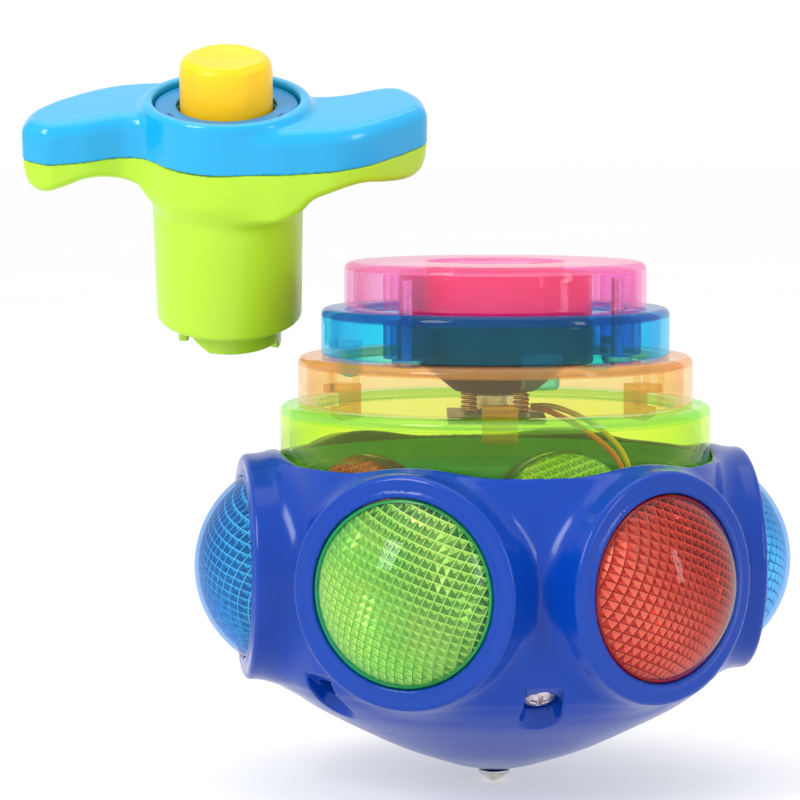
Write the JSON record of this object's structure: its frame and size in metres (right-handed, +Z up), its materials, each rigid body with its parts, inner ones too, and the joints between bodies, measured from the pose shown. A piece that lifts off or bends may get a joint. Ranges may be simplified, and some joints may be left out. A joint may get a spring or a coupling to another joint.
{
  "type": "light up spinning top",
  "caption": "Stepped translucent spinning top with domed lenses round a blue bowl, light and sound parts inside, and a wind-up launcher with a push button.",
  "frame": {"origin": "the flat end of the spin tip, on the spin axis", "axes": "+Z up the spin axis, -Y toward the viewer of the rest arrangement, +X to the right; the launcher is held at -X, above the cap"},
  "size_m": [0.1356, 0.1022, 0.1312],
  "materials": {
    "blue_shell": "opaque royal blue, polished moulded ABS",
    "clear_green": "transparent lime green, polished",
    "clear_orange": "transparent orange, polished",
    "clear_blue": "transparent sky blue, polished",
    "clear_pink": "transparent pink, polished",
    "socket_pink": "deep magenta translucent cup",
    "lens_green": "transparent green with an inner prism pattern",
    "lens_red": "transparent red with an inner prism pattern",
    "lens_blue": "transparent blue with an inner prism pattern",
    "black_plastic": "black, fine texture",
    "speaker_paper": "dull pressed cone",
    "board": "green printed circuit board",
    "steel": "zinc plated",
    "chrome": "bright turned metal",
    "copper": "copper coloured spring wire",
    "led": "clear lamp body",
    "wire_orange": "insulated wire",
    "wire_yellow": "insulated wire",
    "cover_blue": "opaque sky blue, polished",
    "disc_blue": "darker blue, satin",
    "lime_shell": "opaque lime, polished",
    "button_yellow": "opaque yellow, polished"
  },
  "bodies": {
    "top": {"lower_shell": "blue_shell", "upper_shell": "blue_shell", "battery_cover": "blue_shell", "lens_1": "lens_green", "lens_2": "lens_red", "lens_3": "lens_blue", "lens_4": "lens_green", "lens_5": "lens_red", "lens_6": "lens_blue", "green_tier": "clear_green", "orange_tier": "clear_orange", "blue_tier": "clear_blue", "pink_cap": "clear_pink", "drive_socket": "socket_pink", "cap_screw_1": "steel", "body_screw_1": "steel", "battery_cell_1": "steel", "cap_screw_2": "steel", "body_screw_2": "steel", "battery_cell_2": "steel", "cap_screw_3": "steel", "body_screw_3": "steel", "battery_cell_3": "steel", "speaker_frame": "black_plastic", "speaker_cone": "speaker_paper", "speaker_magnet": "steel", "switch_board": "board", "switch_spring_left": "copper", "switch_spring_right": "copper", "circuit_board": "board", "led_1": "led", "led_2": "led", "led_3": "led", "led_4": "led", "led_5": "led", "led_6": "led", "battery_tray": "black_plastic", "contact_plus": "steel", "contact_minus": "steel", "battery_screw": "steel", "spin_tip": "chrome", "wire_orange": "wire_orange", "wire_yellow": "wire_yellow", "wire_battery": "wire_orange"},
    "pin_carrier": {"stop_pin": "steel"},
    "launcher": {"launcher_cover": "cover_blue", "cover_disc": "disc_blue", "launcher_shell": "lime_shell", "wing_screw_left": "steel", "wing_screw_right": "steel", "button_spring": "steel", "mainspring": "steel"},
    "button": {"release_button": "button_yellow"},
    "rotor": {"rotor": "lime_shell", "rotor_clip": "steel"}
  },
  "joints": [
    {"name": "launcher_swing", "type": "hinge", "parent": "top", "child": "pin_carrier", "pos_m": [-0.02367, 0.00061, 0.11634], "axis": [-0.0181, 0.9855, 0.1685], "range_deg": [0, 180]},
    {"name": "launcher_level", "type": "hinge", "parent": "pin_carrier", "child": "launcher", "pos_m": [-0.04733, 0.00122, 0.11022], "axis": [0.001, 0.9432, 0.3322], "range_deg": [-180, 0]},
    {"name": "button_press", "type": "slide", "parent": "launcher", "child": "button", "axis": [-0.0061, 0.3322, -0.9432], "range_m": [0, 0.004], "stiffness_N_per_m": 150, "springref_m": -0.002, "deforming": ["button_spring"]},
    {"name": "rotor_wind", "type": "hinge", "parent": "launcher", "child": "rotor", "pos_m": [-0.04733, 0.00122, 0.11022], "axis": [0.0061, -0.3322, 0.9432], "range_deg": [0, 1080], "stiffness_Nm_per_rad": 0.0003, "springref_deg": -57.3}
  ],
  "couplings": [
    {"joint": "launcher_level", "follows": "launcher_swing", "ratio": -1}
  ]
}
